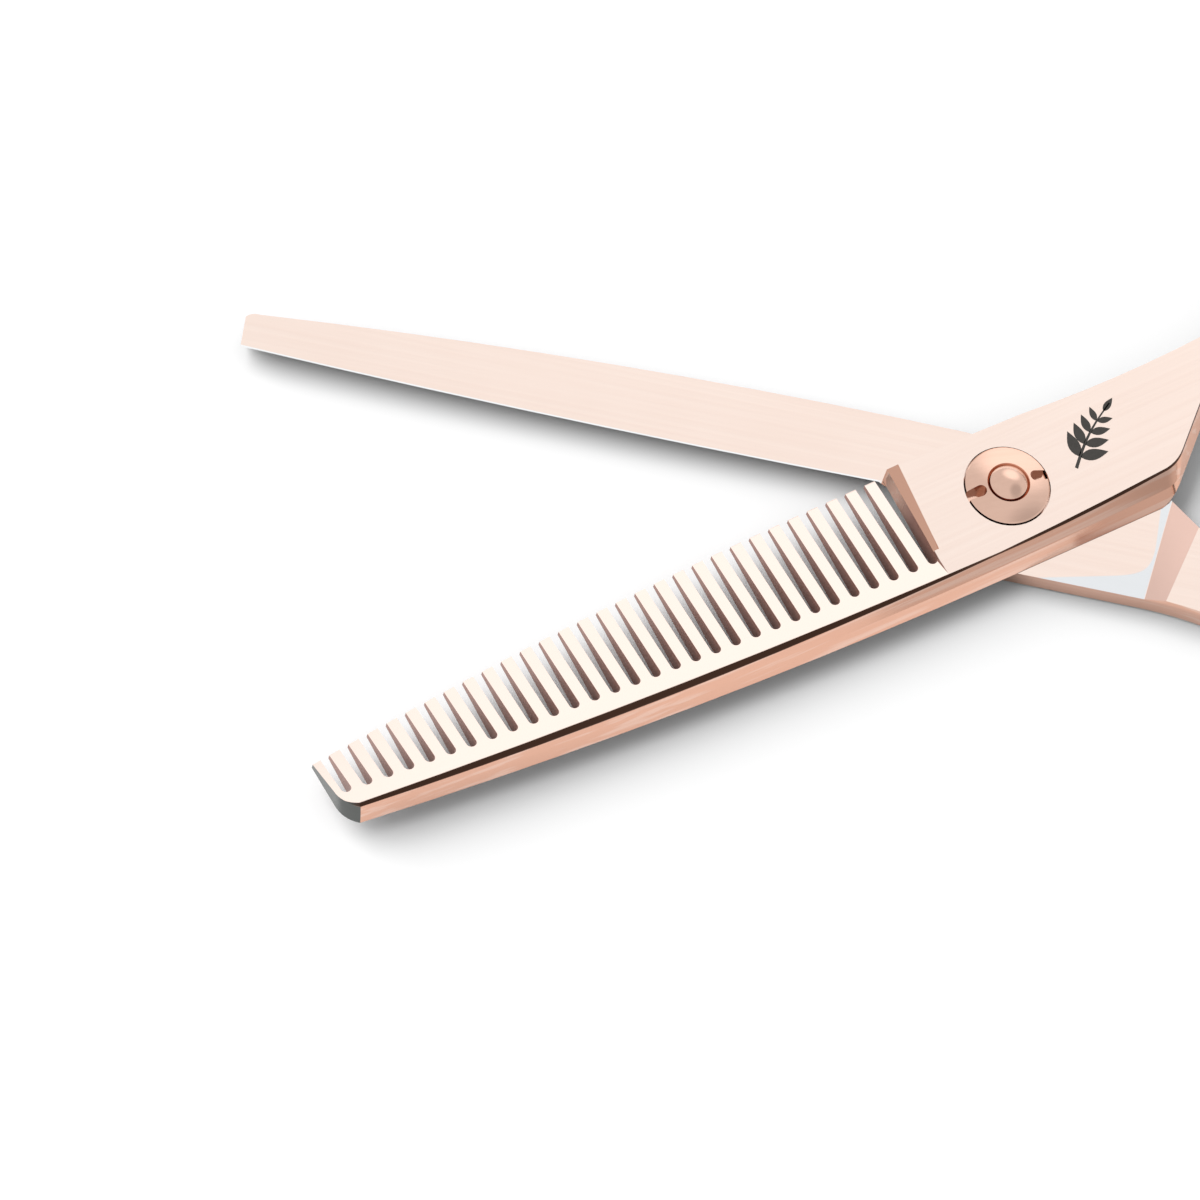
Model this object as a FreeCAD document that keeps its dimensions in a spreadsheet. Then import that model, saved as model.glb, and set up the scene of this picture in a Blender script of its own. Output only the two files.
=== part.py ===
import FreeCAD, Part
import math
import os
import Sketcher

# Hair thinning shears: a comb half and a plain half on one screw, with a ring for the thumb and one
# for the fingers. Millimetres. Both halves are drawn shut, with the screw's axis on Z, the tips towards
# -X and the rings towards +X, and each half is then turned by half the opening. The shears lie on
# Z = 0: the screw's head and both rings touch that plane.

SIZES = {
    # The way the shears stand
    "opening": 38.5,
    "blade_clearance": 0.05,
    "floor_gap": 0.4,
    # Blades
    "blade_reach": 69.5,
    "plain_thickness": 2.2,
    "comb_thickness": 2.35,
    "tip_corner": 1.2,
    "comb_tip_round": 2.9,
    "comb_tip_rise": 2.6,
    "comb_tip_spine": 2.65,
    "comb_pivot_spine": 7.05,
    "comb_ride_spine": 7.2,
    "comb_tip_teeth": 3.85,
    "comb_heel_teeth": 6.3,
    "comb_teeth_curve": 600.0,
    "plain_tip_edge": 0.35,
    "plain_heel_edge": 0.85,
    "plain_edge_curve": 1100.0,
    "plain_tip_spine": 3.2,
    "plain_pivot_spine": 5.95,
    "plain_spine_curve": 560.0,
    "plain_tip_round": 1.3,
    "plain_tip_drop": 0.48,
    "plain_bevel": 2.0,
    "plain_spine_bevel": 0.6,
    "plain_shank_bevel": 0.25,
    "plain_tip_bevel": 0.4,
    # The comb half's spine side, level by level: how far each lies inside the lowest one at the
    # tip, at the pivot, at the end of the ride and along the crotch, and the curves of its edge
    "facet_height": 1.2,
    "bevel_drop": 0.2,
    "under_spine_curve": 577.0,
    "under_ride_curve": 2000.0,
    "under_corner_run": 0.9,
    "facet_tip_in": 0.27,
    "facet_pivot_in": 0.72,
    "facet_ride_in": 1.05,
    "facet_crotch_in": 0.85,
    "facet_spine_curve": 577.0,
    "facet_ride_curve": 600.0,
    "facet_corner_run": 1.1,
    "bevel_tip_in": 0.54,
    "bevel_pivot_in": 1.55,
    "bevel_ride_in": 2.25,
    "bevel_crotch_in": 1.53,
    "bevel_spine_curve": 520.0,
    "bevel_ride_curve": 190.0,
    "bevel_corner_run": 1.5,
    "ridge_tip_in": 0.88,
    "ridge_pivot_in": 1.66,
    "ridge_ride_in": 2.45,
    "ridge_crotch_in": 1.67,
    "ridge_spine_curve": 860.0,
    "ridge_ride_curve": 460.0,
    "ridge_corner_run": 1.6,
    "ridge_land": 0.06,
    # Teeth
    "tooth_pitch": 2.02,
    "slot_width": 0.95,
    "slot_tilt": 3.0,
    "slot_tilt_centre": 0.4,
    "heel_reach": 9.2,
    "heel_flat_reach": 7.8,
    "heel_flat_spine_reach": 8.9,
    "heel_bevel_drop": 0.5,
    "heel_bevel_end_drop": 0.3,
    "heel_lip": 0.2,
    "heel_bevel_end": 2.7,
    "heel_lip_start": 1.0,
    "root_margin": 1.5,
    "tooth_tip_thickness": 0.55,
    "tooth_tip_land": 0.1,
    # Shanks
    "shank_start": 4.0,
    "heel_top_side": 6.17,
    "shank_top_reach": 5.0,
    "shank_top_side": 5.7,
    "comb_weld_side": 5.36,
    "comb_shank_curve": 140.0,
    "comb_weld_reach": 24.6,
    "comb_crotch_angle": 40.0,
    "comb_crotch_reach": 14.38,
    "crotch_bend_reach": 20.9,
    "crotch_bend_angle": 25.0,
    "plain_shank_above": 5.05,
    "plain_shank_below": 7.2,
    "plain_shank_sag": 1.0,
    "plain_shank_curve": 36.0,
    "plain_heel_side": 2.6,
    "plain_weld_reach": 22.0,
    "plain_weld_side": 3.0,
    "plain_crotch_angle": 43.0,
    "plain_corner_round": 2.5,
    "plain_corner_run": 0.8,
    "ramp_reach": 14.9,
    "ramp_run": 2.8,
    "ramp_rise": 0.6,
    "ramp_skew": 0.13,
    "relief_lead": 1.1,
    # Rings and shanks of the handles
    "ring_bore": 21.8,
    "ring_width": 4.2,
    "ring_thickness": 5.2,
    "ring_rounding": 1.9,
    "thumb_ring_reach": 54.0,
    "thumb_bore_side": 4.4,
    "finger_ring_reach": 67.4,
    "finger_bore_side": 3.5,
    "neck_rounding": 0.5,
    "shank_rounding": 1.5,
    "shank_half_width": 2.0,
    "join_narrowing": 0.3,
    "thumb_neck_lean": 1.2,
    "thumb_shank_reach": 30.0,
    "thumb_shank_side": 4.5,
    "thumb_bend_reach": 37.0,
    "thumb_bend_side": 6.3,
    "thumb_join_angle": 43.7,
    "finger_neck_side": 5.6,
    "finger_neck_half_width": 2.6,
    "finger_shank_reach": 29.0,
    "finger_shank_side": 7.6,
    "finger_bend_reach": 38.0,
    "finger_bend_side": 8.8,
    "finger_straight_reach": 48.0,
    "finger_straight_side": 9.0,
    "finger_join_angle": 28.7,
    "shank_lift": 0.3,
    "shoulder_lift": 0.9,
    "shoulder_widening": 0.25,
    # Pivot
    "screw_head": 9.0,
    "head_recess": 0.7,
    "head_flat": 3.9,
    "journal": 4.5,
    "journal_clearance": 0.03,
    "washer_clearance": 0.05,
    "thread": 3.4,
    "thread_clearance": 0.03,
    "button_rise": 0.75,
    "bush_outside": 6.0,
    "nut_diameter": 7.7,
    "nut_gap": 0.13,
    "nut_turn": 10.0,
    "nut_rim_rise": 0.25,
    "nut_rim_break": 0.12,
    "nut_dome_rise": 0.75,
    "nut_dome_curve": 9.0,
    "nut_groove_width": 0.22,
    "nut_groove_depth": 0.25,
    "counterbore_depth": 1.35,
    "thrust_washer": 0.3,
    "thrust_washer_gap": 0.1,
    "spring_washer": 0.2,
    "spring_rise": 0.14,
    "spring_washer_gap": 0.3,
    "stack_clearance": 0.02,
    "glide_washer_diameter": 11.0,
    "glide_washer_thickness": 0.35,
    "key_notch_width": 1.1,
    "key_notch_length": 1.7,
    "key_notch_mouth": 0.66,
    "key_notch_depth": 1.25,
    # Bumper
    "bumper_diameter": 4.6,
    "bumper_chamfer": 0.9,
    "bumper_stud": 2.0,
    "bumper_stud_length": 2.4,
    "bumper_clearance": 0.15,
    "closed_lead": 1.0,
    "spot_depth": 0.5,
    "spot_margin": 0.2,
    # Finger rest
    "rest_angle": 20.0,
    "rest_thread": 2.5,
    "rest_thread_length": 2.8,
    "rest_collar": 4.2,
    "rest_collar_length": 1.6,
    "rest_rod": 3.2,
    "rest_bend": 17.0,
    "rest_sweep": 65.0,
    "rest_washer": 0.6,
    "rest_tip_flat": 0.1,
    # How far a cut runs past the material it takes away
    "overrun": 1.0,
}
TOOTH_COUNT = 30
# A half circle's radius is this much over half its chord, so that its centre is never in doubt.
HALF_ROUND = 1.001
# Two points nearer than this are the same point.
NEAR = 0.01

doc = FreeCAD.newDocument("thinning_shears")
sheet = doc.addObject("Spreadsheet::Sheet", "Sizes")
for row, (alias, number) in enumerate(SIZES.items(), start=1):
    sheet.set("A%d" % row, alias)
    sheet.set("B%d" % row, str(number))
    sheet.setAlias("B%d" % row, alias)
doc.recompute()


class Size:
    """A number together with the spreadsheet expression that gives it."""

    def __init__(self, number, text):
        self.number = number
        self.text = text

    def __add__(self, other):
        other = as_size(other)
        return Size(self.number + other.number, "(%s + %s)" % (self.text, other.text))

    def __sub__(self, other):
        other = as_size(other)
        return Size(self.number - other.number, "(%s - %s)" % (self.text, other.text))

    def __mul__(self, other):
        other = as_size(other)
        return Size(self.number * other.number, "(%s * %s)" % (self.text, other.text))

    def __truediv__(self, other):
        other = as_size(other)
        return Size(self.number / other.number, "(%s / %s)" % (self.text, other.text))

    def __neg__(self):
        return Size(-self.number, "(-1 * %s)" % self.text)


def as_size(value):
    if isinstance(value, Size):
        return value
    return Size(float(value), "%.6f" % value)


def size(alias):
    return Size(float(sheet.get(alias)), "Sizes." + alias)


def tangent(angle):
    """The tangent of an angle in degrees."""
    return Size(math.tan(math.radians(angle.number)), "tan(%s * 1 deg)" % angle.text)


def cosine(angle):
    return Size(math.cos(math.radians(angle.number)), "cos(%s * 1 deg)" % angle.text)


def sine(angle):
    return Size(math.sin(math.radians(angle.number)), "sin(%s * 1 deg)" % angle.text)


def root(value):
    return Size(math.sqrt(value.number), "sqrt(%s)" % value.text)


# Planes and levels that several pieces share.
interface = size("floor_gap") + size("plain_thickness")
comb_under = interface + size("blade_clearance")
comb_top = comb_under + size("comb_thickness")
half_opening = size("opening") / 2
comb_turn = half_opening
plain_turn = -half_opening
washer_top = comb_top - size("counterbore_depth") + size("thrust_washer")
nut_under = washer_top + size("spring_washer") + size("spring_rise") + size("stack_clearance") * 2


def origin_plane(body, role):
    for feature in body.Origin.OriginFeatures:
        if feature.Role == role:
            return feature
    raise ValueError(role)


def new_body(label, turn=None):
    """A body whose frame is turned about the screw's axis."""
    body = doc.addObject("PartDesign::Body", label)
    body.Label = label
    if turn is not None:
        body.Placement = FreeCAD.Placement(FreeCAD.Vector(), FreeCAD.Rotation(FreeCAD.Vector(0, 0, 1), 1))
        body.setExpression("Placement.Rotation.Angle", turn.text)
    return body


def new_sketch(body, name, role="XY_Plane", height=None, side=None):
    """A sketch on one of the body's own planes, height away from it and side along its first axis."""
    sketch = body.newObject("Sketcher::SketchObject", name)
    sketch.AttachmentSupport = [(origin_plane(body, role), "")]
    sketch.MapMode = "FlatFace"
    if height is not None:
        sketch.setExpression("AttachmentOffset.Base.z", height.text)
    if side is not None:
        sketch.setExpression("AttachmentOffset.Base.x", side.text)
    return sketch


def arc_between(start, end, radius, side):
    """The shorter arc from start to end, swelling to the left or the right of that way."""
    chord = end - start
    middle = (start + end) * 0.5
    sign = 1 if side == "left" else -1
    across = FreeCAD.Vector(-chord.y, chord.x, 0) * (sign / chord.Length)
    centre = middle - across * math.sqrt(radius ** 2 - (chord.Length / 2) ** 2)
    first = math.atan2(start.y - centre.y, start.x - centre.x)
    last = math.atan2(end.y - centre.y, end.x - centre.x)
    if side == "left":
        first, last = last, first
    if last < first:
        last += 2 * math.pi
    return Part.ArcOfCircle(Part.Circle(centre, FreeCAD.Vector(0, 0, 1), radius), first, last)


def outline(sketch, nodes):
    """Draws a closed outline. A node is (x, y), or (x, y, radius, side) where an arc leaves it."""
    points = [FreeCAD.Vector(node[0].number, node[1].number, 0) for node in nodes]
    count = len(nodes)
    geometry = []
    ends = []
    for index, node in enumerate(nodes):
        start = points[index]
        end = points[(index + 1) % count]
        if len(node) == 2:
            geometry.append(Part.LineSegment(start, end))
            ends.append((1, 2))
        else:
            geometry.append(arc_between(start, end, node[2].number, node[3]))
            ends.append((2, 1) if node[3] == "left" else (1, 2))
    first = sketch.GeometryCount
    sketch.addGeometry(geometry, False)
    constraints = []
    bindings = []
    offset = sketch.ConstraintCount
    for index, node in enumerate(nodes):
        follower = (index + 1) % count
        constraints.append(Sketcher.Constraint(
            "Coincident", first + index, ends[index][1], first + follower, ends[follower][0]))
        for kind, value in (("DistanceX", node[0]), ("DistanceY", node[1])):
            bindings.append((offset + len(constraints), value))
            constraints.append(Sketcher.Constraint(kind, first + index, ends[index][0], value.number))
        if len(node) == 4:
            bindings.append((offset + len(constraints), node[2]))
            constraints.append(Sketcher.Constraint("Radius", first + index, node[2].number))
    sketch.addConstraint(constraints)
    for index, value in bindings:
        sketch.setExpression("Constraints[%d]" % index, value.text)


def circle(sketch, radius, x=None, y=None):
    """Draws a circle round the sketch's origin, or round x and y."""
    centre = FreeCAD.Vector(x.number if x else 0, y.number if y else 0, 0)
    index = sketch.addGeometry(Part.Circle(centre, FreeCAD.Vector(0, 0, 1), radius.number), False)
    if x is None:
        sketch.addConstraint(Sketcher.Constraint("Coincident", index, 3, -1, 1))
    else:
        for kind, value in (("DistanceX", x), ("DistanceY", y)):
            place = sketch.addConstraint(Sketcher.Constraint(kind, index, 3, value.number))
            sketch.setExpression("Constraints[%d]" % place, value.text)
    place = sketch.addConstraint(Sketcher.Constraint("Radius", index, radius.number))
    sketch.setExpression("Constraints[%d]" % place, radius.text)


def loft(body, name, sketches, cut=False):
    kind = "PartDesign::SubtractiveLoft" if cut else "PartDesign::AdditiveLoft"
    feature = body.newObject(kind, name)
    feature.Profile = sketches[0]
    feature.Sections = sketches[1:]
    feature.Ruled = True
    return feature


def pad(body, name, sketch, length):
    feature = body.newObject("PartDesign::Pad", name)
    feature.Profile = sketch
    feature.setExpression("Length", length.text)
    return feature


def pocket(body, name, sketch, length, upward=False):
    """Cuts down from the sketch by a length, or up from it."""
    feature = body.newObject("PartDesign::Pocket", name)
    feature.Profile = sketch
    feature.setExpression("Length", length.text)
    feature.Reversed = upward
    return feature


def revolve(body, name, sketch, cut=False):
    """Turns the sketch round its own upright axis."""
    feature = body.newObject("PartDesign::Groove" if cut else "PartDesign::Revolution", name)
    feature.Profile = sketch
    feature.ReferenceAxis = (sketch, ["V_Axis"])
    feature.Angle = 360.0
    return feature


# ---------------------------------------------------------------- comb half

nothing = as_size(0)
comb_levels = [
    ("under", nothing),
    ("facet", size("facet_height")),
    ("bevel", size("comb_thickness") - size("bevel_drop")),
    ("ridge", size("comb_thickness")),
]


def inset(name, place):
    """How far a level of the comb half's spine side lies inside the lowest level."""
    return nothing if name == "under" else size("%s_%s_in" % (name, place))


def comb_level(body, name, height):
    """One level of the comb half's outline."""
    sketch = new_sketch(body, "comb_" + name, height=comb_under + height)
    slope = tangent(size("comb_crotch_angle"))
    ride_in = inset(name, "ride")
    ride_side = ride_in - size("comb_ride_spine")
    corner = size("comb_crotch_reach") + (ride_in - inset(name, "crotch")) / slope
    run = size(name + "_corner_run")
    run_x = run * cosine(size("comb_crotch_angle"))
    corner_radius = run / tangent(size("comb_crotch_angle") / 2)
    bend = size("crotch_bend_reach")
    bend_side = ride_side + (bend - corner) * slope
    weld = size("comb_weld_reach")
    weld_side = bend_side + (weld - bend) * tangent(size("crotch_bend_angle"))
    tip_side = inset(name, "tip") - size("comb_tip_spine")
    outline(sketch, [
        (-size("blade_reach"), size("comb_tip_teeth"), size("comb_teeth_curve"), "left"),
        (-size("heel_reach"), size("comb_heel_teeth")),
        (-size("heel_flat_reach"), size("heel_top_side")),
        (size("shank_top_reach"), size("shank_top_side"), size("comb_shank_curve"), "right"),
        (weld, size("comb_weld_side")),
        (weld, weld_side),
        (bend, bend_side),
        (corner + run_x, ride_side + run_x * slope, corner_radius, "left"),
        (corner - run, ride_side, size(name + "_ride_curve"), "left"),
        (-size("shank_start"), inset(name, "pivot") - size("comb_pivot_spine"),
         size(name + "_spine_curve"), "left"),
        (-size("blade_reach") + size("tip_corner"), tip_side, size("comb_tip_round"), "left"),
        (-size("blade_reach"), tip_side + size("comb_tip_rise")),
    ])
    return sketch


def ridge_side(reach):
    """How far the ridge lies beside the blade's axis, at a reach from the screw."""
    start = size("shank_start")
    end = size("blade_reach") - size("tip_corner")
    pivot_side = size("comb_pivot_spine") - size("ridge_pivot_in")
    tip_side = size("comb_tip_spine") - size("ridge_tip_in")
    span = end - start
    along = reach - start
    chord_side = pivot_side + (tip_side - pivot_side) * along / span
    bulge = along * (span - along) / (size("ridge_spine_curve") * 2)
    return chord_side + bulge


def comb_face_cut(body):
    """Slopes the toothed face down from the ridge to the tooth tips."""
    far = size("blade_reach") + size("overrun") * 3
    near = size("heel_reach") + size("slot_width") / 4
    beyond = size("comb_heel_teeth") + size("overrun") * 3
    land = size("tooth_tip_land")
    low = new_sketch(body, "tooth_tips", height=comb_under + size("tooth_tip_thickness"))
    outline(low, [
        (-near, size("comb_heel_teeth") - land, size("comb_teeth_curve"), "right"),
        (-far, size("comb_tip_teeth") - land),
        (-far, beyond),
        (-near, beyond),
    ])
    high = new_sketch(body, "ridge", height=comb_top)
    outline(high, [
        (-near, size("ridge_land") - ridge_side(near), size("ridge_spine_curve"), "left"),
        (-far, size("ridge_land") - ridge_side(far)),
        (-far, beyond),
        (-near, beyond),
    ])
    return loft(body, "toothed_face", [low, high], cut=True)


def heel_bevel_cut(body):
    """Bevels the heel from the flat pivot face down to the nearest slot, with a lip at its spine end."""
    far = size("heel_reach") + size("slot_width") / 2
    teeth_side = size("comb_heel_teeth") + size("overrun") / 4
    spine_side = -size("heel_bevel_end")
    lip_side = -size("heel_lip_start")
    share = (lip_side - spine_side) / (teeth_side - spine_side)
    lip_reach = size("heel_flat_spine_reach") + (
        size("heel_flat_reach") - size("heel_flat_spine_reach")) * share
    lip_drop = size("heel_bevel_end_drop") + (size("heel_bevel_drop") - size("heel_bevel_end_drop")) * share
    sections = []
    for name, across, reach, drop, lip in (
            ("heel_bevel_edge", teeth_side, size("heel_flat_reach"), size("heel_bevel_drop"), nothing),
            ("heel_bevel_lip", lip_side, lip_reach, lip_drop, nothing),
            ("heel_bevel_end", spine_side, size("heel_flat_spine_reach"), size("heel_bevel_end_drop"),
             size("heel_lip"))):
        sketch = new_sketch(body, name, "XZ_Plane", height=-across)
        outline(sketch, [
            (-reach, comb_top - lip),
            (-far, comb_top - drop),
            (-far, comb_top + size("overrun")),
            (-reach, comb_top + size("overrun")),
        ])
        sections.append(sketch)
    return loft(body, "heel_bevel", sections, cut=True)


def slot_cut(body):
    """Cuts the slots between the teeth, each with a round root that keeps its distance from the ridge."""
    sketch = new_sketch(body, "slots", height=comb_under)
    lean = tangent(size("slot_tilt"))
    beyond = size("comb_heel_teeth") + size("overrun")
    half_width = size("slot_width") / 2
    for index in range(TOOTH_COUNT):
        middle = size("heel_reach") + half_width + size("tooth_pitch") * index
        root_side = size("root_margin") + half_width - ridge_side(middle)
        root_x = -middle - (beyond - root_side) * lean * size("slot_tilt_centre")
        mouth_x = root_x + (beyond - root_side) * lean
        outline(sketch, [
            (root_x - half_width, root_side, half_width * HALF_ROUND, "right"),
            (root_x + half_width, root_side),
            (mouth_x + half_width, beyond),
            (mouth_x - half_width, beyond),
        ])
    return pocket(body, "tooth_slots", sketch, size("comb_thickness") + size("overrun"), upward=True)


def ramp_reach_at(side, lead):
    """Where a ramp starts, at a place across the shank; ramps fan out by their skew."""
    return size("ramp_reach") + side * size("ramp_skew") - lead


def ramp_sections(body, name, base, rise, lead, above):
    """Two upright sections, across the shank, of what is taken away beside a ramp."""
    overrun = size("overrun")
    sections = []
    for end, side in (("low", -size("plain_shank_below") - overrun * 3),
                      ("high", size("heel_top_side") + overrun)):
        sketch = new_sketch(body, name + "_" + end, "XZ_Plane", height=-side)
        start = ramp_reach_at(side, lead)
        finish = start + size("ramp_run") + side * size("ramp_skew")
        if above:
            far = -size("blade_reach") - overrun
            outline(sketch, [(far, base), (start, base), (finish, base + rise),
                             (finish, base + rise + overrun), (far, base + rise + overrun)])
        else:
            far = size("comb_weld_reach") + overrun
            outline(sketch, [(start, base), (finish, base + rise), (far, base + rise),
                             (far, base - overrun), (start, base - overrun)])
        sections.append(sketch)
    return sections


def make_comb_blade():
    body = new_body("comb_blade", comb_turn)
    levels = [comb_level(body, *level) for level in comb_levels]
    loft(body, "comb_solid", levels)
    comb_face_cut(body)
    heel_bevel_cut(body)
    slot_cut(body)
    relief = size("ramp_rise") + size("blade_clearance")
    loft(body, "crotch_relief",
         ramp_sections(body, "relief", comb_under, relief, size("relief_lead"), above=False), cut=True)
    seat = new_sketch(body, "nut_seat", height=comb_top)
    circle(seat, size("nut_diameter") / 2 + size("nut_gap"))
    pocket(body, "nut_counterbore", seat, size("counterbore_depth"))
    bore = new_sketch(body, "bush_bore", height=comb_top)
    circle(bore, size("bush_outside") / 2)
    pocket(body, "bush_hole", bore, size("comb_thickness") + size("overrun"))
    return body


# ---------------------------------------------------------------- plain half

def plain_level(body, name, height, bevel, spine_in, shank_in, end_in):
    """One level of the plain half's outline."""
    sketch = new_sketch(body, "plain_" + name, height=height)
    below = shank_in - size("plain_shank_below")
    above = size("plain_shank_above") - shank_in
    slope = tangent(size("plain_crotch_angle"))
    weld = size("plain_weld_reach")
    weld_top = -size("plain_weld_side") - shank_in
    corner_x = weld - (above - weld_top) / slope
    run = size("plain_corner_run")
    run_x = run * cosine(size("plain_crotch_angle"))
    tip = -size("blade_reach") + end_in
    tip_spine = size("plain_tip_spine") - spine_in
    outline(sketch, [
        (tip, bevel - size("plain_tip_edge"), size("plain_edge_curve"), "right"),
        (-size("heel_reach") - size("tooth_pitch"), bevel - size("plain_heel_edge")),
        (-size("heel_flat_reach"), bevel / 3 - size("plain_heel_side")),
        (-size("shank_start"), below),
        (size("ramp_reach") - size("plain_shank_sag"), below, size("plain_shank_curve"), "left"),
        (weld, below - size("plain_shank_sag")),
        (weld, weld_top),
        (corner_x + run_x, above - run_x * slope, size("plain_corner_round"), "right"),
        (corner_x - run, above),
        (size("shank_start"), above),
        (-size("shank_start"), size("plain_pivot_spine") - spine_in, size("plain_spine_curve"), "right"),
        (tip + size("tip_corner"), tip_spine, size("plain_tip_round"), "right"),
        (tip, tip_spine - size("plain_tip_drop")),
    ])
    return sketch


def make_plain_blade():
    body = new_body("plain_blade", plain_turn)
    outer = plain_level(body, "outer", size("floor_gap"), size("plain_bevel"), size("plain_spine_bevel"),
                        size("plain_shank_bevel"), size("plain_tip_bevel"))
    inner = plain_level(body, "inner", interface, nothing, nothing, nothing, nothing)
    top = plain_level(body, "top", interface + size("ramp_rise"), nothing, nothing, nothing, nothing)
    loft(body, "plain_solid", [outer, inner, top])
    loft(body, "ride_face",
         ramp_sections(body, "ride", interface, size("ramp_rise"), nothing, above=True), cut=True)
    washer = new_sketch(body, "washer_seat", height=interface)
    circle(washer, size("glide_washer_diameter") / 2 + size("stack_clearance"))
    pocket(body, "washer_recess", washer, size("glide_washer_thickness"))
    bore = new_sketch(body, "journal_bore", height=size("floor_gap"))
    circle(bore, size("journal") / 2)
    pocket(body, "journal_hole", bore, size("plain_thickness") + size("overrun"), upward=True)
    head = new_sketch(body, "head_seat", height=size("floor_gap"))
    head_outline(head)
    pocket(body, "head_pocket", head, size("head_recess"), upward=True)
    return body


# ---------------------------------------------------------------- pivot

def head_outline(sketch):
    """The screw head's outline: a circle with two flats, which keep it from turning."""
    radius = size("screw_head") / 2
    flat = size("head_flat")
    reach = root(radius * radius - flat * flat)
    outline(sketch, [
        (reach, -flat, radius, "right"),
        (reach, flat),
        (-reach, flat, radius, "right"),
        (-reach, -flat),
    ])


def make_pivot_screw():
    """Head in the plain half, a plain journal, the threaded end and its domed button."""
    body = new_body("pivot_screw", plain_turn)
    head_top = size("floor_gap") + size("head_recess")
    head = new_sketch(body, "head")
    head_outline(head)
    pad(body, "head_pad", head, head_top)
    stem = new_sketch(body, "stem", "XZ_Plane")
    journal = size("journal") / 2
    thread = size("thread") / 2
    shoulder = nut_under - size("stack_clearance")
    dome_base = comb_top + size("nut_dome_rise")
    top = dome_base + size("button_rise")
    dome = (thread * thread + size("button_rise") * size("button_rise")) / (size("button_rise") * 2)
    outline(stem, [
        (nothing, size("floor_gap")),
        (journal, size("floor_gap")),
        (journal, shoulder),
        (thread, shoulder),
        (thread, dome_base, dome, "right"),
        (nothing, top),
    ])
    revolve(body, "stem_turned", stem)
    return body


def ring_piece(label, inner, outer, low, high, turn):
    """A flat ring round the screw's axis."""
    body = new_body(label, turn)
    sketch = new_sketch(body, label + "_section", "XZ_Plane")
    outline(sketch, [(inner, low), (outer, low), (outer, high), (inner, high)])
    revolve(body, label + "_turned", sketch)
    return body


def make_pivot_bush():
    """Bearing sleeve in the comb half, running on the screw's journal."""
    inner = size("journal") / 2 + size("journal_clearance")
    high = comb_top - size("counterbore_depth")
    return ring_piece("pivot_bush", inner, size("bush_outside") / 2, comb_under, high, comb_turn)


def make_glide_washer():
    """Slippery washer in the plain half's inner face."""
    inner = size("journal") / 2
    low = interface - size("glide_washer_thickness")
    high = interface + size("blade_clearance") - size("stack_clearance")
    return ring_piece("glide_washer", inner, size("glide_washer_diameter") / 2, low, high, plain_turn)


def make_thrust_washer():
    """Flat washer on the floor of the comb half's counterbore."""
    inner = size("journal") / 2 + size("washer_clearance")
    low = washer_top - size("thrust_washer")
    outer = size("nut_diameter") / 2 - size("thrust_washer_gap")
    return ring_piece("thrust_washer", inner, outer, low, washer_top, comb_turn)


def make_spring_washer():
    """Dished washer that keeps the nut tight."""
    body = new_body("spring_washer", plain_turn)
    sketch = new_sketch(body, "dish_section", "XZ_Plane")
    inner = size("journal") / 2 + size("washer_clearance")
    outer = size("nut_diameter") / 2 - size("spring_washer_gap")
    low = washer_top + size("stack_clearance")
    thick = size("spring_washer")
    rise = size("spring_rise")
    outline(sketch, [(outer, low), (outer, low + thick), (inner, low + rise + thick), (inner, low + rise)])
    revolve(body, "dish_turned", sketch)
    return body


def make_tension_nut():
    """Domed disc on the screw's thread, with two open key notches across from each other."""
    body = new_body("tension_nut", size("nut_turn"))
    sketch = new_sketch(body, "disc_section", "XZ_Plane")
    bore = size("thread") / 2 + size("thread_clearance")
    outer = size("nut_diameter") / 2
    rim = comb_top + size("nut_rim_rise")
    crown = comb_top + size("nut_dome_rise")
    groove = bore + size("nut_groove_width")
    rim_break = size("nut_rim_break")
    outline(sketch, [
        (bore, nut_under),
        (outer, nut_under),
        (outer, rim - rim_break),
        (outer - rim_break, rim, size("nut_dome_curve"), "right"),
        (groove, crown),
        (bore, crown - size("nut_groove_depth")),
    ])
    revolve(body, "disc_turned", sketch)
    notch = new_sketch(body, "key_notches", height=crown)
    half = size("key_notch_width") / 2
    inside = outer - size("key_notch_length") + half
    outside = outer + size("overrun")
    mouth = size("key_notch_mouth") / 2
    for sign in (1, -1):
        outline(notch, [
            (inside * sign, half * -sign, half * HALF_ROUND, "left"),
            (inside * sign, half * sign),
            (outside * sign, mouth * sign),
            (outside * sign, mouth * -sign),
        ])
    pocket(body, "notch_cut", notch, size("key_notch_depth"))
    return body


# ---------------------------------------------------------------- handles

def section(body, name, reach, low_left, high_left, right, low, high, rounding):
    """A rounded four-sided section across a shank, at a reach from the screw."""
    sketch = new_sketch(body, name, "YZ_Plane", height=reach)
    outline(sketch, [
        (low_left + rounding, low),
        (right - rounding, low, rounding, "right"),
        (right, low + rounding),
        (right, high - rounding, rounding, "right"),
        (right - rounding, high),
        (high_left + rounding, high, rounding, "right"),
        (high_left, high - rounding),
        (low_left, low + rounding, rounding, "right"),
    ])
    return sketch


def bar(reach, middle, half_width, low, high):
    """A station where the shank is a plain rounded bar."""
    left = middle - half_width
    return reach, left, left, middle + half_width, low, high, size("shank_rounding")


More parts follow.
